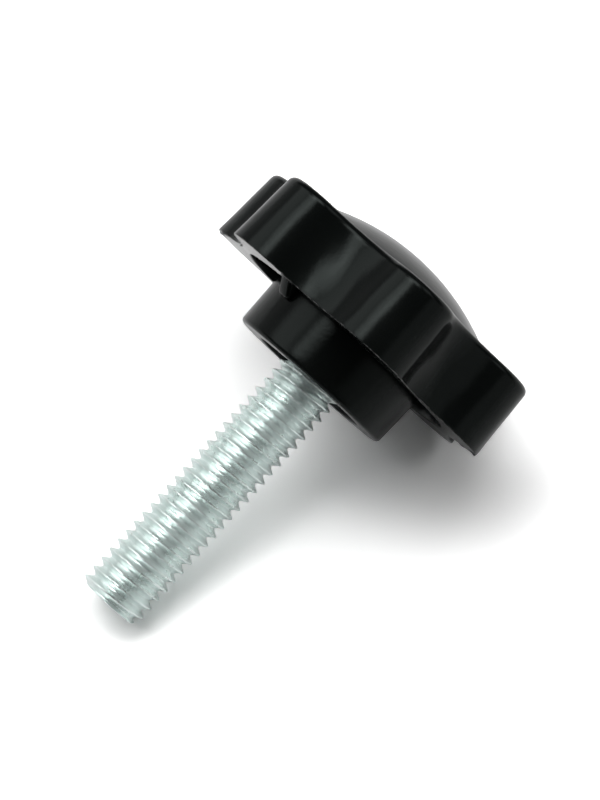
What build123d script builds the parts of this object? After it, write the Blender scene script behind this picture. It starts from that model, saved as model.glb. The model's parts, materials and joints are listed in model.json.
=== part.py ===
from build123d import *
import math
import os

# A thumb screw, in millimetres: a star-shaped plastic head moulded round the hexagon of a steel
# stud. It is drawn upright, with the clamp face at height 0, the dome above it and the stud below.
# At the end it is laid down as it comes to rest, on two lobes of the rim and the stud's tip.

# Stud
thread_diameter = 6.0
stud_reach = 24.75  # from the clamp face to the tip
tip_chamfer = 0.45
neck_diameter = 5.3  # plain shank inside the head, on which the thread is rolled
anchor_sides = 6  # hexagon that keeps the stud from turning in the plastic
anchor_across_flats = 10.0
anchor_height = 4.0
anchor_cover = 2.6  # plastic over the hexagon, up to the top of the dome

# Star rim
lobe_count = 6
head_diameter = 30.0  # over the lobes, at the open edge
valley_depth = 3.0  # from the lobes in to the valleys between them
lobe_radius = 4.05
rim_height = 6.85
rim_draft = 3.2  # degrees, narrower towards the dome
rim_edge_radius = 0.65

# Dome
dome_rise = 2.3
dome_ledge = 2.2  # flat ring between the foot of the dome and the valleys

# Boss, whose end is the clamp face
boss_diameter = 15.3
boss_reach = 4.55  # from the clamp face to the open edge of the rim
boss_draft = 1.5  # degrees, wider towards the rim
boss_chamfer = 0.4
counterbore_diameter = 10.8
counterbore_depth = 1.0

# Ring recess between the boss and the rim
valley_wall = 1.3  # rim wall left at the valleys, at the open edge
top_wall = 1.8  # plastic left over the recess, below the ledge
recess_draft = 2.0  # degrees, narrower towards its floor

# Webs across the recess, evenly spaced from one of the lobes
web_count = 2
web_first_lobe = 2
web_thickness = 1.5
web_rise = 1.0  # out of the recess past the open edge, at the boss
web_crown = 0.55  # flat top, out from the boss
web_wall_drop = 2.4  # from the open edge down to the web, at the wall of the recess
web_edge_radius = 0.3

# Sizes that follow from those above
lobe_step = 360 / lobe_count
half_step = lobe_step / 2
head_radius = head_diameter / 2
valley_radius = head_radius - valley_depth
lobe_centre = head_radius - lobe_radius
rim_top = boss_reach + rim_height
recess_floor = rim_top - top_wall
recess_depth = recess_floor - boss_reach
recess_radius = valley_radius - valley_wall
dome_radius = valley_radius - rim_height * math.tan(math.radians(rim_draft)) - dome_ledge
anchor_top = rim_top + dome_rise - anchor_cover
standing = (Align.CENTER, Align.CENTER, Align.MIN)


def polar(radius, angle):
    """Point of the ground plane at a radius and an angle in degrees."""
    return Vector(radius, 0).rotate(Axis.Z, angle)


def star_outline():
    """Open edge of the rim: round lobes joined by valley arcs tangent to them, a valley on +X."""
    # the distance between the arcs' centres is the sum of their radii
    lobe_reach = lobe_centre * math.cos(math.radians(half_step))
    miss = lobe_radius**2 - valley_radius**2 - lobe_centre**2 + 2 * lobe_reach * valley_radius
    valley_arc_radius = miss / (2 * (valley_radius - lobe_reach - lobe_radius))
    valley_centre = valley_radius + valley_arc_radius
    to_valley = polar(valley_centre, 0) - polar(lobe_centre, half_step)
    tangent_angle = math.degrees(math.atan2(to_valley.Y, to_valley.X))
    valley_turn = 2 * tangent_angle
    lobe_turn = lobe_step - valley_turn
    arcs = []
    for lobe in range(lobe_count):
        valley_angle = lobe * lobe_step
        valley_middle = polar(valley_centre, valley_angle)
        lobe_middle = polar(lobe_centre, valley_angle + half_step)
        valley_start = valley_angle + 180 - tangent_angle
        lobe_start = valley_angle + tangent_angle
        arcs.append(CenterArc(valley_middle, valley_arc_radius, valley_start, valley_turn))
        arcs.append(CenterArc(lobe_middle, lobe_radius, lobe_start, lobe_turn))
    return make_face(arcs)


def make_rim():
    """Star-shaped disc, drafted towards the dome, with a rounded top edge."""
    disc = extrude(star_outline(), rim_height, taper=rim_draft)
    top_edges = disc.faces().sort_by(Axis.Z)[-1].edges()
    return Pos(Z=boss_reach) * fillet(top_edges, rim_edge_radius)


def make_dome():
    """Spherical cap on the flat top of the rim."""
    sphere_radius = (dome_radius**2 + dome_rise**2) / (2 * dome_rise)
    sphere_centre = rim_top + dome_rise - sphere_radius
    sphere = Pos(Z=sphere_centre) * Rot(X=90) * Sphere(sphere_radius)
    return split(sphere, Plane.XY.offset(rim_top), keep=Keep.TOP)


def make_recess():
    """Round hollow of the underside, which the boss stands in."""
    floor_radius = recess_radius - recess_depth * math.tan(math.radians(recess_draft))
    return Pos(Z=boss_reach) * Cone(recess_radius, floor_radius, recess_depth, align=standing)


def make_boss():
    """Round boss from the clamp face to the floor of the recess, with its shallow counterbore."""
    root_radius = boss_diameter / 2 + recess_floor * math.tan(math.radians(boss_draft))
    cone = Cone(boss_diameter / 2, root_radius, recess_floor, align=standing)
    end_edge = cone.faces().sort_by(Axis.Z)[0].edges()
    boss = chamfer(end_edge, boss_chamfer)
    return boss - Cylinder(counterbore_diameter / 2, counterbore_depth, align=standing)


def make_web():
    """Radial web along +X: a flat top at the boss, then a slope down to the wall of the recess."""
    root = boss_diameter / 2 - web_thickness
    crown_end = boss_diameter / 2 + web_crown
    foot = recess_radius + web_crown
    crown_height = boss_reach - web_rise
    foot_height = boss_reach + web_wall_drop
    side = Plane.XZ * make_face(
        Polyline(
            (root, recess_floor),
            (root, crown_height),
            (crown_end, crown_height),
            (recess_radius, foot_height),
            (foot, foot_height),
            (foot, recess_floor),
            close=True,
        )
    )
    web = extrude(side, web_thickness / 2, both=True)
    top_edges = web.edges().filter_by_position(Axis.Z, crown_height, foot_height)
    free_edges = top_edges - top_edges.filter_by(Axis.Y)
    return fillet(free_edges, web_edge_radius)


def make_stud():
    """Threaded shank at its full diameter, a plain neck inside the head, and the hexagon."""
    thread_radius = thread_diameter / 2
    neck_radius = neck_diameter / 2
    anchor_seat = anchor_top - anchor_height
    section = Plane.XZ * make_face(
        Polyline(
            (0, -stud_reach),
            (thread_radius - tip_chamfer, -stud_reach),
            (thread_radius, tip_chamfer - stud_reach),
            (thread_radius, counterbore_depth),
            (neck_radius, counterbore_depth),
            (neck_radius, anchor_seat),
            (0, anchor_seat),
            close=True,
        )
    )
    hexagon = RegularPolygon(anchor_across_flats / 2, anchor_sides, major_radius=False)
    anchor = extrude(Pos(Z=anchor_seat) * hexagon, anchor_height)
    return revolve(section, Axis.Z) + anchor


def make_head(stud):
    """The whole moulding, with the space that the stud fills."""
    head = make_rim() + make_dome() - make_recess() + make_boss()
    web = make_web()
    first_angle = half_step + web_first_lobe * lobe_step
    for number in range(web_count):
        head += Rot(Z=first_angle + number * 360 / web_count) * web
    return head - stud


def lie_down(solids):
    """Lean the axis until two lobes and the tip touch the ground, and centre the whole on it."""
    lobe_drop = lobe_centre * math.cos(math.radians(half_step)) + lobe_radius
    tip_shoulder = stud_reach - tip_chamfer
    lean = math.degrees(math.atan2(lobe_drop - thread_diameter / 2, boss_reach + tip_shoulder))
    leaning = [Rot(Y=90 - lean) * solid for solid in solids]
    box = Compound(leaning).bounding_box()
    middle = box.center()
    return [Pos(-middle.X, -middle.Y, -box.min.Z) * solid for solid in leaning]


threaded_stud = make_stud()
star_head = make_head(threaded_stud)
star_head, threaded_stud = lie_down([star_head, threaded_stud])

os.makedirs("parts", exist_ok=True)
export_step(star_head, "parts/star_head.step")
export_step(threaded_stud, "parts/threaded_stud.step")
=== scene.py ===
import json
import math

import bmesh
import bpy
import numpy as np
from mathutils import Matrix, Vector


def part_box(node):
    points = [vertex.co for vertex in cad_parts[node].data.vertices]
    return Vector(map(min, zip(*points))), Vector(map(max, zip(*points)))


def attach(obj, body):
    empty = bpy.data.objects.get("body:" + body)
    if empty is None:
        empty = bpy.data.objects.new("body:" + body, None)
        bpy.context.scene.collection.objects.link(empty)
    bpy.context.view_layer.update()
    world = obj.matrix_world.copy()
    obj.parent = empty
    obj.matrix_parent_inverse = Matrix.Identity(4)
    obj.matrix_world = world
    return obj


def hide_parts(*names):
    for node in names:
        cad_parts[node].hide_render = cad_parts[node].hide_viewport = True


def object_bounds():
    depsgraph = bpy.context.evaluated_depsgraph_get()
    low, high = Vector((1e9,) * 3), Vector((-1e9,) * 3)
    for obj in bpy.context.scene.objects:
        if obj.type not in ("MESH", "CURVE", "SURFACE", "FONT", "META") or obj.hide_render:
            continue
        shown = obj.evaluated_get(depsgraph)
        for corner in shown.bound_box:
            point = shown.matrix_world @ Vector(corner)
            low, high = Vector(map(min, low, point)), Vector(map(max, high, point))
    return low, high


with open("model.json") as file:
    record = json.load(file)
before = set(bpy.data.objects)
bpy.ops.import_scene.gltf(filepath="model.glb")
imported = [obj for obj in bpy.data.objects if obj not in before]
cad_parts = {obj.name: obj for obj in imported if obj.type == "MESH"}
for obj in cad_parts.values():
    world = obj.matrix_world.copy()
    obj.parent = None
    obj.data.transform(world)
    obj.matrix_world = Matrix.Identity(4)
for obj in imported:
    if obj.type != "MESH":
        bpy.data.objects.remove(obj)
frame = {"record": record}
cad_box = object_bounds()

# A thumb screw: a glossy black star head, moulded round a zinc-plated threaded stud.
# Both pieces are drawn upright, in millimetres: the clamp face at height 0, the dome above it and
# the stud below. Then they are laid down in the frame, in metres, along the stud's own mount.

# Units
metre_per_mm = 0.001
full_turn = 2 * math.pi
inner_share = 0.9998  # keeps every point of the scene inside the box

# Star rim
lobe_count = 6
valley_depth = 3.0
lobe_radius = 4.05
rim_height = 6.85
rim_draft = math.radians(3.2)
rim_edge_radius = 0.65
open_edge_radius = 0.09

# Dome
dome_rise = 2.3
dome_ledge = 2.2

# Boss and its counterbore
boss_diameter = 15.3
boss_reach = 4.55
boss_draft = math.radians(1.5)
boss_edge_radius = 0.4
counterbore_diameter = 10.8
counterbore_depth = 1.0
counterbore_edge_radius = 0.12

# Ring recess and its webs
valley_wall = 1.3
top_wall = 1.8
recess_draft = math.radians(2.0)
recess_edge_radius = 0.1
web_lobes = (2, 5)
web_thickness = 1.5
web_rise = 1.0
web_crown = 0.55
web_wall_drop = 2.4
web_edge_radius = 0.3
web_corner = 0.2

# Stud
thread_pitch = 1.0
thread_depth = 0.6134
flank_slope = math.sqrt(3)  # drop over offset, for flanks at 60 degrees
crest_half_width = 0.05
crest_rounding = 0.09
root_rounding = 0.22
crest_height = -23.76  # of a crest, at the angle below
crest_angle = math.radians(291.2)
tip_chamfer = 0.45
neck_diameter = 5.3
anchor_sides = 6
anchor_across_flats = 10.0
anchor_height = 4.0
anchor_cover = 2.6

# Grid
columns_per_lobe = 72
web_column_count = 12
thread_columns = 48
thread_rows_per_pitch = 48
counterbore_rows = 4
clamp_face_rows = 4
fine_edge_rows = 3
boss_edge_rows = 6
boss_rows = 9
recess_rows = 6
recess_wall_rows = 7
open_face_rows = 6
rim_rows = 30
rim_edge_rows = 7
ledge_rows = 6
dome_rows = 30
head_sharp_angle = math.radians(30)
stud_sharp_angle = math.radians(40)
merge_distance = 1e-8  # in metres

# Moulding faults
sink_depth = 0.1
sink_width = 4.5
sink_length = 9.0
sink_shift = 0.37
flash_height = 0.22
flash_counts = (23, 37, 61)
flash_gap = 0.3
flash_front = math.radians(201.2)  # the side without flash faces this way
flash_side = 0.86
flash_floor_side = 0.3  # cosine past which the rim lies on the floor, without flash

# Black plastic
plastic_dark = (0.0026, 0.0032, 0.003, 1)
plastic_light = (0.005, 0.006, 0.0057, 1)
# pale colour on the open edge: real scuffs, and partly a painted highlight line along that edge
plastic_scuff_and_sheen = (0.08, 0.08, 0.08, 1)
plastic_gloss = 0.107
plastic_gloss_tint = (0.88, 1, 0.96, 1)
plastic_roughness = (0.13, 0.2)
plastic_bump = 0.6
plastic_bump_depth = 0.0001
flow_scale = 160.0
flow_detail = 3.0
flow_range = (0.3, 0.7)
skin_scale = 2600.0
skin_detail = 2.0
skin_share = 0.1
# broken spots of the pale edge colour: scuffs, and partly a painted highlight along the edge
scuff_and_sheen_scale = 1500.0
scuff_and_sheen_detail = 3.0
scuff_and_sheen_range = (0.42, 0.62)

# Zinc plating
zinc_dull = (0.81, 0.92, 0.895, 1)
zinc_bright = (0.92, 0.985, 0.97, 1)
zinc_line = (0.63, 0.73, 0.7, 1)
zinc_metallic = 0.75
zinc_roughness = (0.22, 0.36)
zinc_bump = 1.0
zinc_bump_depth = 0.00012
line_scale = 480.0
line_detail = 3.0
line_roughness = 0.6
line_stretch = (0.15, 1.0, 1.0)
line_range = (0.3, 0.7)
line_share = 0.45
cloud_scale = 420.0
cloud_detail = 4.0
cloud_range = (0.3, 0.7)

# Floor, in metres
floor_half = 3.0
floor_white = 0.94
floor_white_seen = 1.6  # for the camera, so that the lit floor reads as white
floor_glow = 0.02

# Camera, in metres, as the photograph was taken
camera_place = (-0.095496, -0.101145, 0.252852)
camera_look = (0.351591, 0.359113, -0.864536)
camera_top = (0.605006, 0.617567, 0.502572)
camera_lens = 151.94
camera_sensor = 36.0
camera_clip_start = 0.01

# Lamps, in metres; a level of 1 is as bright as a white floor
lamp_target = (0.0, 0.0, 0.01)
key_middle = (0.14, 0.06, 0.675)
key_size = (0.36, 0.36)
key_level = 5.0
right_middle = (0.37, -0.3, 0.52)
right_size = (0.34, 0.34)
right_level = 1.5
top_middle = (-0.1, 0.175, 0.67)
top_size = (0.34, 0.24)
top_level = 4.5
back_middle = (-0.1, 0.46, 0.5)
back_size = (0.6, 0.34)
back_level = 2.2
low_middle = (-0.03, 0.65, 0.22)
low_size = (0.5, 0.4)
low_level = 0.5
front_middle = (0.12, -0.64, 0.24)
front_size = (0.5, 0.38)
front_level = 0.53
soft_shares = (0.7, 0.85, 1.0, 1.15, 1.3)
sheet_gap = 0.005
room_level = 0.025
backdrop_top = 0.05  # sine of its height above the horizon
backdrop_blur = 0.03

# Sizes taken from the frame
mounts = {mount["name"]: mount for mount in frame["record"]["mounts"]}
stud_mount = mounts["stud"]
thread_radius = stud_mount["dims"]["r_mm"]
head_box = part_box("star_head")
head_radius = (head_box[1].y - head_box[0].y) / 2 / metre_per_mm

# Sizes that follow from those above
half_step = math.pi / lobe_count
valley_radius = head_radius - valley_depth
lobe_centre = head_radius - lobe_radius
rim_top = boss_reach + rim_height
boss_radius = boss_diameter / 2
recess_floor = rim_top - top_wall
recess_radius = valley_radius - valley_wall
recess_floor_radius = recess_radius - (recess_floor - boss_reach) * math.tan(recess_draft)
dome_radius = valley_radius - rim_height * math.tan(rim_draft) - dome_ledge
anchor_top = rim_top + dome_rise - anchor_cover
anchor_seat = anchor_top - anchor_height
counterbore_radius = counterbore_diameter / 2
neck_radius = neck_diameter / 2
web_crown_height = boss_reach - web_rise
web_crown_end = boss_radius + web_crown
web_slope = math.atan2(web_rise + web_wall_drop, recess_radius - web_crown_end)

# The valley arc touches the two lobes beside it: the distance between the centres is the sum of
# the radii
lobe_reach = lobe_centre * math.cos(half_step)
lobe_side = lobe_centre * math.sin(half_step)
valley_miss = lobe_radius**2 - valley_radius**2 - lobe_centre**2 + 2 * lobe_reach * valley_radius
valley_arc_radius = valley_miss / (2 * (valley_radius - lobe_reach - lobe_radius))
valley_centre = valley_radius + valley_arc_radius

# The stud's mount gives the axis, and the clamp face's mount the height 0 on it
stud_axis = -Vector(stud_mount["axis"]).normalized()
across_axis = Vector((0, 1, 0)).cross(stud_axis)
stud_middle = Vector(stud_mount["pos_m"])
clamp_middle = Vector(mounts["clamp_face"]["pos_m"])
seat = stud_middle + stud_axis * (clamp_middle - stud_middle).dot(stud_axis)
thread_middle = (stud_middle - seat).dot(stud_axis) / metre_per_mm
tip_height = thread_middle - stud_mount["dims"]["length_mm"] / 2 - tip_chamfer


def boss_side(height):
    """Radius of the drafted boss at a height: it grows evenly from the clamp face."""
    return boss_radius + height * math.tan(boss_draft)


def star_outline(angle, inset):
    """Radius of the star at each angle, with its outline moved inwards by inset.

    A ray from the centre meets the lobe's circle at its far side, or the valley's circle at its
    near side. The two change over where the circles touch, on the line between their centres.
    """
    from_valley = np.abs((angle + half_step) % (2 * half_step) - half_step)
    from_lobe = from_valley - half_step
    lobe = lobe_radius - inset
    valley = valley_arc_radius + inset
    lobe_root = np.sqrt(np.maximum(lobe**2 - (lobe_centre * np.sin(from_lobe)) ** 2, 0))
    valley_root = np.sqrt(np.maximum(valley**2 - (valley_centre * np.sin(from_valley)) ** 2, 0))
    share = lobe / (lobe_radius + valley_arc_radius)
    touch_across = lobe_side * (1 - share)
    touch_along = lobe_reach + (valley_centre - lobe_reach) * share
    touch = np.arctan2(touch_across, touch_along)
    on_lobe = lobe_centre * np.cos(from_lobe) + lobe_root
    on_valley = valley_centre * np.cos(from_valley) - valley_root
    return np.where(from_valley < touch, on_valley, on_lobe)


def hexagon_outline(angle):
    """Radius of the hexagon at each angle: half its width over the cosine from the nearest flat."""
    flat_step = full_turn / anchor_sides
    from_flat = (angle + flat_step / 2) % flat_step - flat_step / 2
    return anchor_across_flats / 2 / np.cos(from_flat)


def smooth_lower(first, second, rounding):
    """The lower of two values, with the corner between them rounded by a parabola."""
    overlap = np.maximum(rounding - np.abs(first - second), 0) / rounding
    return np.minimum(first, second) - overlap**2 * rounding / 4


def thread_outline(angle, height):
    """Radius of the thread: flanks at 60 degrees, rounded crest and root, cut by the tip's cone.

    The offset from the nearest crest along the axis, which climbs one pitch in each turn, gives the
    drop below the crest: nothing on the crest, the flank's slope beside it, and the thread's depth
    at most.
    """
    turns = (height - crest_height) / thread_pitch - (angle - crest_angle) / full_turn
    offset = np.abs(turns - np.round(turns)) * thread_pitch
    flank = (offset - crest_half_width) * flank_slope
    from_crest = -smooth_lower(-flank, np.zeros_like(flank), crest_rounding)
    drop = smooth_lower(from_crest, np.full_like(flank, thread_depth), root_rounding)
    lowest = crest_rounding / 4
    cone = thread_radius - tip_chamfer + (height - tip_height)
    return np.minimum(thread_radius + lowest - np.maximum(drop, lowest), cone)


def laid(points):
    """Upright points in millimetres, laid along the stud's mount in the frame, in metres.

    They are drawn in a hair towards the middle of the box, so that no point lies outside it.
    """
    turn = np.array([across_axis, (0, 1, 0), stud_axis])
    placed = points @ turn * metre_per_mm + np.array(seat)
    box_middle = (np.array(cad_box[0]) + np.array(cad_box[1])) / 2
    return box_middle + (placed - box_middle) * inner_share


def closed_surface(name, rings, first_pole, last_pole, marks):
    """Mesh of rings of points, each joined to the next and round, with a fan to a pole at each end.

    Each cell of the grid is cut along the diagonal that climbs with the angle. Marks are named
    values for each ring and column, kept as attributes of the points.
    """
    row_count, column_count = rings.shape[:2]
    grid = np.arange(row_count * column_count).reshape(row_count, column_count)
    after = np.roll(grid, -1, axis=1)
    low_left, low_right = grid[:-1], after[:-1]
    high_left, high_right = grid[1:], after[1:]
    first, last = grid.size, grid.size + 1
    triangles = np.concatenate([
        np.stack([low_left, low_right, high_right], -1).reshape(-1, 3),
        np.stack([low_left, high_right, high_left], -1).reshape(-1, 3),
        np.stack([after[0], grid[0], np.full(column_count, first)], -1),
        np.stack([grid[-1], after[-1], np.full(column_count, last)], -1),
    ])
    points = np.concatenate([rings.reshape(-1, 3), [first_pole, last_pole]])
    corners = points[triangles]
    volume = np.einsum("ij,ij->i", corners[:, 0], np.cross(corners[:, 1], corners[:, 2])).sum()
    if volume < 0:
        triangles = triangles[:, ::-1]
    mesh = bpy.data.meshes.new(name)
    mesh.vertices.add(len(points))
    mesh.vertices.foreach_set("co", laid(points).astype(np.float32).ravel())
    mesh.loops.add(triangles.size)
    mesh.loops.foreach_set("vertex_index", triangles.astype(np.int32).ravel())
    mesh.polygons.add(len(triangles))
    mesh.polygons.foreach_set("loop_start", np.arange(0, triangles.size, 3, dtype=np.int32))
    for mark, values in marks.items():
        padded = np.concatenate([values.ravel(), [0, 0]]).astype(np.float32)
        mesh.attributes.new(mark, "FLOAT", "POINT").data.foreach_set("value", padded)
    mesh.update(calc_edges=True)
    mesh.validate()
    piece = bpy.data.objects.new(name, mesh)
    bpy.context.scene.collection.objects.link(piece)
    return piece


def smooth_shaded(piece, sharp_angle):
    """Join points that coincide, and shade the piece smoothly up to an angle between its faces."""
    work = bmesh.new()
    work.from_mesh(piece.data)
    bmesh.ops.remove_doubles(work, verts=work.verts, dist=merge_distance)
    bmesh.ops.dissolve_degenerate(work, edges=work.edges, dist=merge_distance)
    work.to_mesh(piece.data)
    work.free()
    piece.data.polygons.foreach_set("use_smooth", np.ones(len(piece.data.polygons), dtype=bool))
    piece.data.set_sharp_from_angle(angle=sharp_angle)


def make_stud():
    """Threaded stud: rings from the tip's middle, along the thread, the neck and the hexagon."""
    angle = np.arange(thread_columns) * full_turn / thread_columns
    row_count = round((counterbore_depth - tip_height) / thread_pitch * thread_rows_per_pitch)
    heights = np.linspace(tip_height, counterbore_depth, row_count + 1)
    radii = thread_outline(angle[None, :], heights[:, None])
    neck = np.full_like(angle, neck_radius)
    hexagon = hexagon_outline(angle)
    inner = np.stack([neck, neck, hexagon, hexagon])
    inner_heights = np.array([counterbore_depth, anchor_seat, anchor_seat, anchor_top])
    radii = np.concatenate([radii, inner])
    heights = np.concatenate([heights, inner_heights])[:, None] + np.zeros_like(angle)
    rings = np.stack([radii * np.cos(angle), radii * np.sin(angle), heights], -1)
    ends = (0, 0, tip_height), (0, 0, anchor_top)
    piece = closed_surface("stud_thread", rings, *ends, {})
    smooth_shaded(piece, stud_sharp_angle)
    return piece


def head_columns():
    """Columns of the head: angle, offset from a web's middle, whether on its top, middle angle.

    Columns are evenly spaced, apart from a set across each web that keeps a constant offset from
    the web's middle: one on each side face, which goes down to the recess floor, and a set over
    the top with its rounded edges. Other columns have no offset, and their own angle as the middle.
    """
    step = 2 * half_step / columns_per_lobe
    plain = np.arange(lobe_count * columns_per_lobe) * step
    web_half = web_thickness / 2
    turn = np.linspace(-math.pi / 2, math.pi / 2, web_column_count)
    flat = web_half - web_edge_radius
    top_offset = np.sign(turn) * flat + np.sin(turn) * web_edge_radius
    offsets = np.concatenate([[-web_half], top_offset, [web_half]])
    on_top = np.concatenate([[False], np.ones(web_column_count, bool), [False]])
    reach = math.asin(web_half / boss_side(boss_reach)) + step / 2
    spread = np.linspace(-reach, reach, len(offsets))
    middle_angles = [half_step * (2 * lobe + 1) for lobe in web_lobes]
    gap = np.min([np.abs(plain - middle) for middle in middle_angles], axis=0)
    kept = plain[gap > reach + step / 2]
    angles = np.concatenate([kept] + [middle + spread for middle in middle_angles])
    held = np.concatenate([np.full(len(kept), np.nan)] + [offsets for _ in middle_angles])
    tops = np.concatenate([np.zeros(len(kept), bool)] + [on_top for _ in middle_angles])
    middles = np.concatenate([kept] + [np.full(len(offsets), middle) for middle in middle_angles])
    order = np.argsort(angles, kind="stable")
    return angles[order], held[order], tops[order], middles[order]


def round_edge(start, stop, count):
    """Cosines and sines of a quarter turn, or part of one, without its two ends."""
    turn = np.linspace(start, stop, count + 2)[1:-1]
    return zip(np.cos(turn), np.sin(turn))


def sink_marks(angle, height):
    """How far the rim's side sinks in where the moulding is thick, in millimetres.

    A slanting wave in each valley, which fades towards the lobes and shifts from valley to valley.
    """
    from_valley = (angle + half_step) % (2 * half_step) - half_step
    valley = np.round(angle / (2 * half_step))
    fade = np.clip(1 - np.abs(from_valley) / half_step, 0, 1)
    across = from_valley * valley_radius / sink_width
    along = (height - boss_reach) / sink_length
    wave = np.sin(full_turn * (across + along + sink_shift * valley))
    return sink_depth * fade * (1 - wave) / 2


def flash_marks(angle):
    """Height of the flash along the open edge, as a share: short broken fins at the two sides."""
    ripple = sum(np.sin(angle * count + count) for count in flash_counts) / len(flash_counts)
    side = np.clip((np.abs(np.sin(angle - flash_front)) - flash_side) / (1 - flash_side), 0, 1)
    return np.clip(ripple - flash_gap, 0, 1) / (1 - flash_gap) * np.sqrt(side)


def web_top(drop, count):
    """Rows of points over a web, from the boss to the recess wall, and the place where they end.

    A flat crown, then a straight slope. Each column is moved into the web by its drop, at right
    angles to both, which rounds the web's long edges. The corner between them is rounded by a
    parabola.
    """
    start = boss_side(web_crown_height + drop), web_crown_height + drop
    corner = web_crown_end - drop * math.tan(web_slope / 2), web_crown_height + drop
    lean = math.tan(recess_draft)
    climb = math.tan(web_slope)
    on_axis = web_crown_height + (recess_radius + boss_reach * lean - web_crown_end) * climb
    wall_height = (on_axis + drop / math.cos(web_slope)) / (1 + lean * climb)
    wall_radius = recess_radius - (wall_height - boss_reach) * lean
    before = corner[0] - web_corner, corner[1]
    corner_along, corner_down = math.cos(web_slope) * web_corner, math.sin(web_slope) * web_corner
    after = corner[0] + corner_along, corner[1] + corner_down
    middle = [(first + 2 * mid + last) / 4 for first, mid, last in zip(before, corner, after)]
    rows = [start, before, middle]
    for share in np.linspace(0, 1, count - len(rows) + 1)[:-1]:
        ends = zip(after, (wall_radius, wall_height))
        rows.append([first + (last - first) * share for first, last in ends])
    return rows, wall_radius, wall_height


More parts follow.
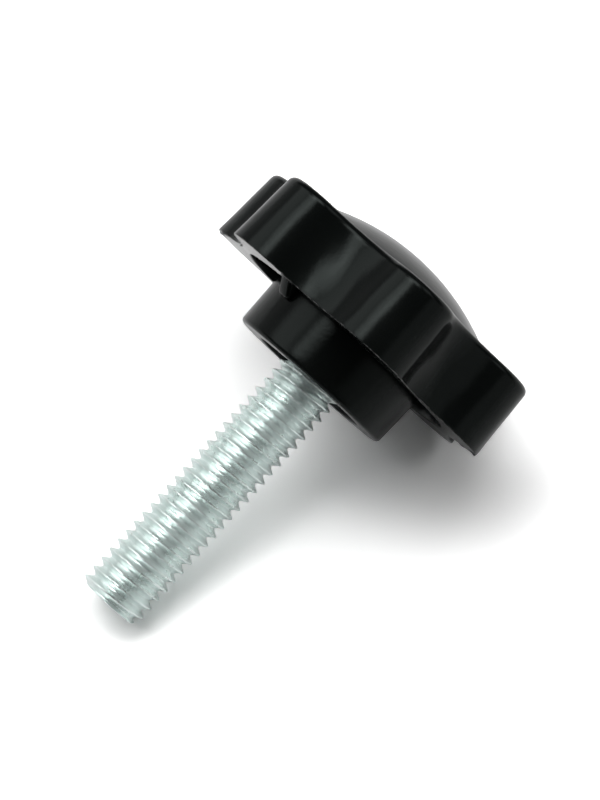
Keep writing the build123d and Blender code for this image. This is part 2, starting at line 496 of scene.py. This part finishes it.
def make_head():
    """Star head: rings from the hexagon's middle, over the boss, recess and rim, to the dome."""
    angle, held, on_top, middle = head_columns()
    column_held = ~np.isnan(held)
    radii, heights, grips, edges = [], [], [], []

    def ring(radius, height, grip=0.0, edge=0.0):
        radii.append(radius + np.zeros_like(angle))
        heights.append(height + np.zeros_like(angle))
        grips.append(grip)
        edges.append(edge + np.zeros_like(angle))

    # The space that the stud fills
    ring(hexagon_outline(angle), anchor_top)
    ring(hexagon_outline(angle), anchor_seat)
    ring(neck_radius, anchor_seat)
    ring(neck_radius, counterbore_depth)
    # Counterbore, clamp face and the boss's end edge
    for share in np.linspace(0, 1, counterbore_rows):
        ring(neck_radius + (counterbore_radius - neck_radius) * share, counterbore_depth)
    ring(counterbore_radius, counterbore_edge_radius)
    for cosine, sine in round_edge(0, math.pi / 2, fine_edge_rows):
        ring(
            counterbore_radius + counterbore_edge_radius * (1 - cosine),
            counterbore_edge_radius * (1 - sine),
        )
    for share in np.linspace(0, 1, clamp_face_rows):
        inner = counterbore_radius + counterbore_edge_radius
        ring(inner + (boss_radius - boss_edge_radius - inner) * share, 0)
    for cosine, sine in round_edge(math.pi / 2, boss_draft, boss_edge_rows):
        ring(
            boss_side(boss_edge_radius) - boss_edge_radius * (1 - cosine),
            boss_edge_radius * (1 - sine),
        )
    # Boss side, down to the top of the webs
    web_drop = np.zeros_like(angle)
    past_flat = np.abs(held[on_top]) - (web_thickness / 2 - web_edge_radius)
    past_flat = np.clip(past_flat, 0, web_edge_radius)
    web_drop[on_top] = web_edge_radius - np.sqrt(web_edge_radius**2 - past_flat**2)
    web_drop[column_held & ~on_top] = web_edge_radius
    web_start = web_crown_height + web_drop
    for share in np.linspace(0, 1, boss_rows):
        height = boss_edge_radius + (web_start - boss_edge_radius) * share
        ring(boss_side(height), height, grip=share)
    # Recess floor, or the top of a web
    floor_start = boss_side(recess_floor)
    side_heights = np.linspace(boss_reach, recess_floor, recess_rows)
    floor_radii = np.linspace(floor_start, recess_floor_radius, recess_rows)[1:]
    path = [(boss_side(height), height) for height in side_heights]
    path += [(radius, recess_floor) for radius in floor_radii]
    web_path, wall_radius, wall_height = web_top(web_drop, len(path))
    for (radius, height), (top_radius, top_height) in zip(path, web_path):
        ring(np.where(on_top, top_radius, radius), np.where(on_top, top_height, height), grip=1.0)
    # Recess wall, above a web from where it ends
    foot_radius = np.where(column_held, wall_radius, recess_floor_radius)
    foot_height = np.where(column_held, wall_height, recess_floor)
    edge_height = boss_reach + recess_edge_radius
    for share in np.linspace(0, 1, recess_wall_rows):
        ring(
            foot_radius + (recess_radius - foot_radius) * share,
            foot_height + (edge_height - foot_height) * share,
            grip=1.0,
        )
    for cosine, sine in round_edge(0, math.pi / 2, fine_edge_rows):
        ring(
            recess_radius + recess_edge_radius * (1 - cosine),
            boss_reach + recess_edge_radius * (1 - sine),
            grip=1.0,
        )
    # Open face of the rim, its edge and flash
    on_floor = np.cos(angle) > flash_floor_side
    flash = np.where(on_floor, 0, flash_marks(angle)) * flash_height
    inner = recess_radius + recess_edge_radius
    outer = star_outline(angle, open_edge_radius)
    for share in np.linspace(0, 1, open_face_rows):
        # The edge mark picks out the open edge, where the plastic gets pale scuffs and a painted
        # highlight line
        at_edge = float(share == 1)
        lift = flash * at_edge
        ring(inner + (outer - inner) * share, boss_reach - lift, 1 - share, at_edge)
    for cosine, sine in round_edge(math.pi / 2, 0, fine_edge_rows):
        ring(
            star_outline(angle, open_edge_radius * (1 - cosine)),
            boss_reach + open_edge_radius * (1 - sine),
            edge=1.0,
        )
    # Rim side with its sink marks
    round_middle = rim_top - rim_edge_radius
    round_start = round_middle + rim_edge_radius * math.sin(rim_draft)
    side_start = boss_reach + open_edge_radius
    for share in np.linspace(0, 1, rim_rows):
        height = side_start + (round_start - side_start) * share
        fade = math.sin(math.pi * share)
        sunk = sink_marks(angle, height) * fade
        ring(star_outline(angle, (height - boss_reach) * math.tan(rim_draft) + sunk), height)
    # Rounded top edge, ledge and dome
    side_inset = (round_middle - boss_reach) * math.tan(rim_draft)
    round_inset = side_inset + rim_edge_radius / math.cos(rim_draft)
    for cosine, sine in round_edge(rim_draft, math.pi / 2, rim_edge_rows):
        ring(
            star_outline(angle, round_inset - rim_edge_radius * cosine),
            round_middle + rim_edge_radius * sine,
        )
    ledge_outer = star_outline(angle, round_inset)
    for share in np.linspace(0, 1, ledge_rows):
        ring(ledge_outer + (dome_radius - ledge_outer) * share, rim_top)
    sphere_radius = (dome_radius**2 + dome_rise**2) / (2 * dome_rise)
    sphere_middle = rim_top + dome_rise - sphere_radius
    opening = math.asin(dome_radius / sphere_radius)
    for tilt in np.linspace(opening, 0, dome_rows)[1:-1]:
        ring(sphere_radius * math.sin(tilt), sphere_middle + sphere_radius * math.cos(tilt))

    radii, heights, edges = np.array(radii), np.array(heights), np.array(edges)
    offset = np.where(column_held, held, 0)
    web_angle = middle + np.arcsin(offset / np.maximum(radii, web_thickness))
    grip = np.array(grips)[:, None] * column_held
    turned = angle + grip * (web_angle - angle)
    rings = np.stack([radii * np.cos(turned), radii * np.sin(turned), heights], -1)
    ends = (0, 0, anchor_top), (0, 0, rim_top + dome_rise)
    piece = closed_surface("star_head_moulding", rings, *ends, {"open_edge": edges})
    smooth_shaded(piece, head_sharp_angle)
    return piece


class Finish:
    """A node material: short calls to add a node with its settings and links."""

    def __init__(self, name="", world=None):
        self.material = world or bpy.data.materials.new(name)
        self.material.use_nodes = True
        self.tree = self.material.node_tree
        self.tree.nodes.clear()

    def node(self, kind, inputs=None, **settings):
        made = self.tree.nodes.new(kind)
        for key, value in settings.items():
            setattr(made, key, value)
        for key, value in (inputs or {}).items():
            if isinstance(value, bpy.types.NodeSocket):
                self.tree.links.new(value, made.inputs[key])
            else:
                made.inputs[key].default_value = value
        return made

    def noise(self, place, scale, detail, roughness=0.5):
        inputs = {"Vector": place, "Scale": scale, "Detail": detail, "Roughness": roughness}
        return self.node("ShaderNodeTexNoise", inputs).outputs["Fac"]

    def ramp(self, value, low, high, to_low, to_high):
        limits = {"From Min": low, "From Max": high, "To Min": to_low, "To Max": to_high}
        return self.node("ShaderNodeMapRange", {"Value": value, **limits}).outputs["Result"]

    def mix(self, share, first, second):
        # sockets 6 and 7 are the two colours of a colour mix, and output 2 is its result
        inputs = {0: share, 6: first, 7: second}
        return self.node("ShaderNodeMix", inputs, data_type="RGBA").outputs[2]

    def combine(self, operation, *values):
        return self.node("ShaderNodeMath", dict(enumerate(values)), operation=operation).outputs[0]

    def bump(self, height, strength, distance):
        inputs = {"Height": height, "Strength": strength, "Distance": distance}
        return self.node("ShaderNodeBump", inputs).outputs["Normal"]

    def seen(self):
        """1 for what the camera sees, also in gloss and through glass, and 0 for other light."""
        path = self.node("ShaderNodeLightPath").outputs
        either = self.combine("MAXIMUM", path["Is Camera Ray"], path["Is Glossy Ray"])
        return self.combine("MAXIMUM", either, path["Is Transmission Ray"])

    def show(self, shader):
        self.node("ShaderNodeOutputMaterial", {"Surface": shader})
        return self.material


def black_plastic():
    """Glossy black moulded plastic: faint flow marks, a fine skin, and a pale scuffed open edge
    with a painted highlight line.
    """
    finish = Finish("black_plastic")
    place = finish.node("ShaderNodeTexCoord").outputs["Object"]
    edge = finish.node("ShaderNodeAttribute", attribute_name="open_edge").outputs["Fac"]
    flow = finish.noise(place, flow_scale, flow_detail)
    skin = finish.noise(place, skin_scale, skin_detail)
    # Pale spots along the open edge: real scuffs, and partly a painted highlight line on the edge
    grain = finish.noise(place, scuff_and_sheen_scale, scuff_and_sheen_detail)
    scuff_and_sheen_spots = finish.ramp(grain, *scuff_and_sheen_range, 0.0, 1.0)
    scuff_and_sheen_mask = finish.combine("MULTIPLY", edge, scuff_and_sheen_spots)
    body = finish.mix(flow, plastic_dark, plastic_light)
    height = finish.combine("MULTIPLY_ADD", skin, skin_share, flow)
    inputs = {
        "Base Color": finish.mix(scuff_and_sheen_mask, body, plastic_scuff_and_sheen),
        "Roughness": finish.ramp(flow, *flow_range, *plastic_roughness),
        "Normal": finish.bump(height, plastic_bump, plastic_bump_depth),
        "Specular IOR Level": plastic_gloss,
        "Specular Tint": plastic_gloss_tint,
    }
    return finish.show(finish.node("ShaderNodeBsdfPrincipled", inputs).outputs[0])


def zinc_plating():
    """Bright zinc plating on a rolled thread: blue-green tint, fine lines round it, dull spots."""
    finish = Finish("zinc_plated_steel")
    place = finish.node("ShaderNodeTexCoord").outputs["Object"]
    lean = math.atan2(stud_axis.z, stud_axis.x)
    turned = {"Vector": place, "Rotation": (0, -lean, 0), "Scale": line_stretch}
    along = finish.node("ShaderNodeMapping", turned, vector_type="TEXTURE").outputs["Vector"]
    lines = finish.noise(along, line_scale, line_detail, line_roughness)
    cloud = finish.noise(place, cloud_scale, cloud_detail)
    tint = finish.mix(cloud, zinc_dull, zinc_bright)
    line_mix = finish.ramp(lines, *line_range, 0.0, line_share)
    inputs = {
        "Base Color": finish.mix(line_mix, tint, zinc_line),
        "Metallic": zinc_metallic,
        "Roughness": finish.ramp(cloud, *cloud_range, *zinc_roughness),
        "Normal": finish.bump(lines, zinc_bump, zinc_bump_depth),
    }
    return finish.show(finish.node("ShaderNodeBsdfPrincipled", inputs).outputs[0])


def make_floor():
    """Plain white floor that keeps the shadow.

    Its lit part reads as white to the camera, and as plain white in gloss and through glass.
    """
    corner_signs = ((-1, -1), (1, -1), (1, 1), (-1, 1))
    corners = [(floor_half * x, floor_half * y, 0) for x, y in corner_signs]
    mesh = bpy.data.meshes.new("floor")
    mesh.from_pydata(corners, [], [range(len(corners))])
    floor = bpy.data.objects.new("floor", mesh)
    bpy.context.scene.collection.objects.link(floor)
    finish = Finish("white_floor")
    path = finish.node("ShaderNodeLightPath").outputs
    white = finish.ramp(path["Is Camera Ray"], 0.0, 1.0, floor_white, floor_white_seen)
    glow = finish.ramp(finish.seen(), 0.0, 1.0, 0.0, floor_glow)
    lit = finish.node("ShaderNodeBsdfDiffuse", {"Color": white})
    shine = finish.node("ShaderNodeEmission", {"Strength": glow})
    both = finish.node("ShaderNodeAddShader", {0: lit.outputs[0], 1: shine.outputs[0]})
    mesh.materials.append(finish.show(both.outputs[0]))


def aimed(place, target, name, data):
    """A lamp at a place, turned to look at a target."""
    made = bpy.data.objects.new(name, data)
    made.location = place
    made.rotation_euler = (Vector(target) - Vector(place)).to_track_quat("-Z", "Y").to_euler()
    bpy.context.scene.collection.objects.link(made)


def softbox(name, middle, size, level):
    """A soft rectangular lamp: sheets of several sizes, one behind the other.

    They share its level evenly. The power of each is its level times its area, times pi.
    """
    away = (Vector(middle) - Vector(lamp_target)).normalized()
    for number, share in enumerate(soft_shares):
        lamp = bpy.data.lights.new(f"{name}_{number}", "AREA")
        lamp.shape = "RECTANGLE"
        lamp.size, lamp.size_y = size[0] * share, size[1] * share
        lamp.energy = math.pi * lamp.size * lamp.size_y * level / len(soft_shares)
        aimed(Vector(middle) + away * sheet_gap * number, lamp_target, lamp.name, lamp)


def light_scene():
    """Two strong lamps high above, softer ones to the right and behind, two weak ones low down."""
    softbox("key_lamp", key_middle, key_size, key_level)
    softbox("right_lamp", right_middle, right_size, right_level)
    softbox("top_lamp", top_middle, top_size, top_level)
    softbox("back_lamp", back_middle, back_size, back_level)
    softbox("low_lamp", low_middle, low_size, low_level)
    softbox("front_lamp", front_middle, front_size, front_level)


def dim_room():
    """World: a dim room that lights the object, and a low white backdrop, seen and reflected."""
    world = bpy.data.worlds.new("dim_room")
    bpy.context.scene.world = world
    room = Finish(world=world)
    direction = room.node("ShaderNodeTexCoord").outputs["Generated"]
    height = room.node("ShaderNodeSeparateXYZ", {"Vector": direction}).outputs["Z"]
    low = room.ramp(height, backdrop_top - backdrop_blur, backdrop_top + backdrop_blur, 1.0, 0.0)
    backdrop = room.combine("MULTIPLY", low, room.seen())
    strength = room.ramp(backdrop, 0.0, 1.0, room_level, 1.0)
    shade = room.node("ShaderNodeBackground", {"Color": (1, 1, 1, 1), "Strength": strength})
    room.node("ShaderNodeOutputWorld", {"Surface": shade.outputs[0]})


def place_camera():
    """Camera at the photograph's angle, for an image of 600 by 800."""
    lens = bpy.data.cameras.new("camera")
    lens.lens = camera_lens
    lens.sensor_width = camera_sensor
    lens.clip_start = camera_clip_start
    camera = bpy.data.objects.new("camera", lens)
    back = -Vector(camera_look).normalized()
    right = Vector(camera_top).cross(back).normalized()
    top = back.cross(right)
    turn = Matrix((right, top, back)).transposed().to_4x4()
    camera.matrix_world = Matrix.Translation(camera_place) @ turn
    bpy.context.scene.collection.objects.link(camera)
    bpy.context.scene.camera = camera


def dress(piece, material, node):
    """Give a piece its material, and let it ride and stand for its node."""
    piece.data.materials.append(material)
    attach(piece, "root")
    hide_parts(node)


dress(make_head(), black_plastic(), "star_head")
dress(make_stud(), zinc_plating(), "threaded_stud")
make_floor()
light_scene()
dim_room()
place_camera()
bpy.context.scene.view_settings.view_transform = "Standard"
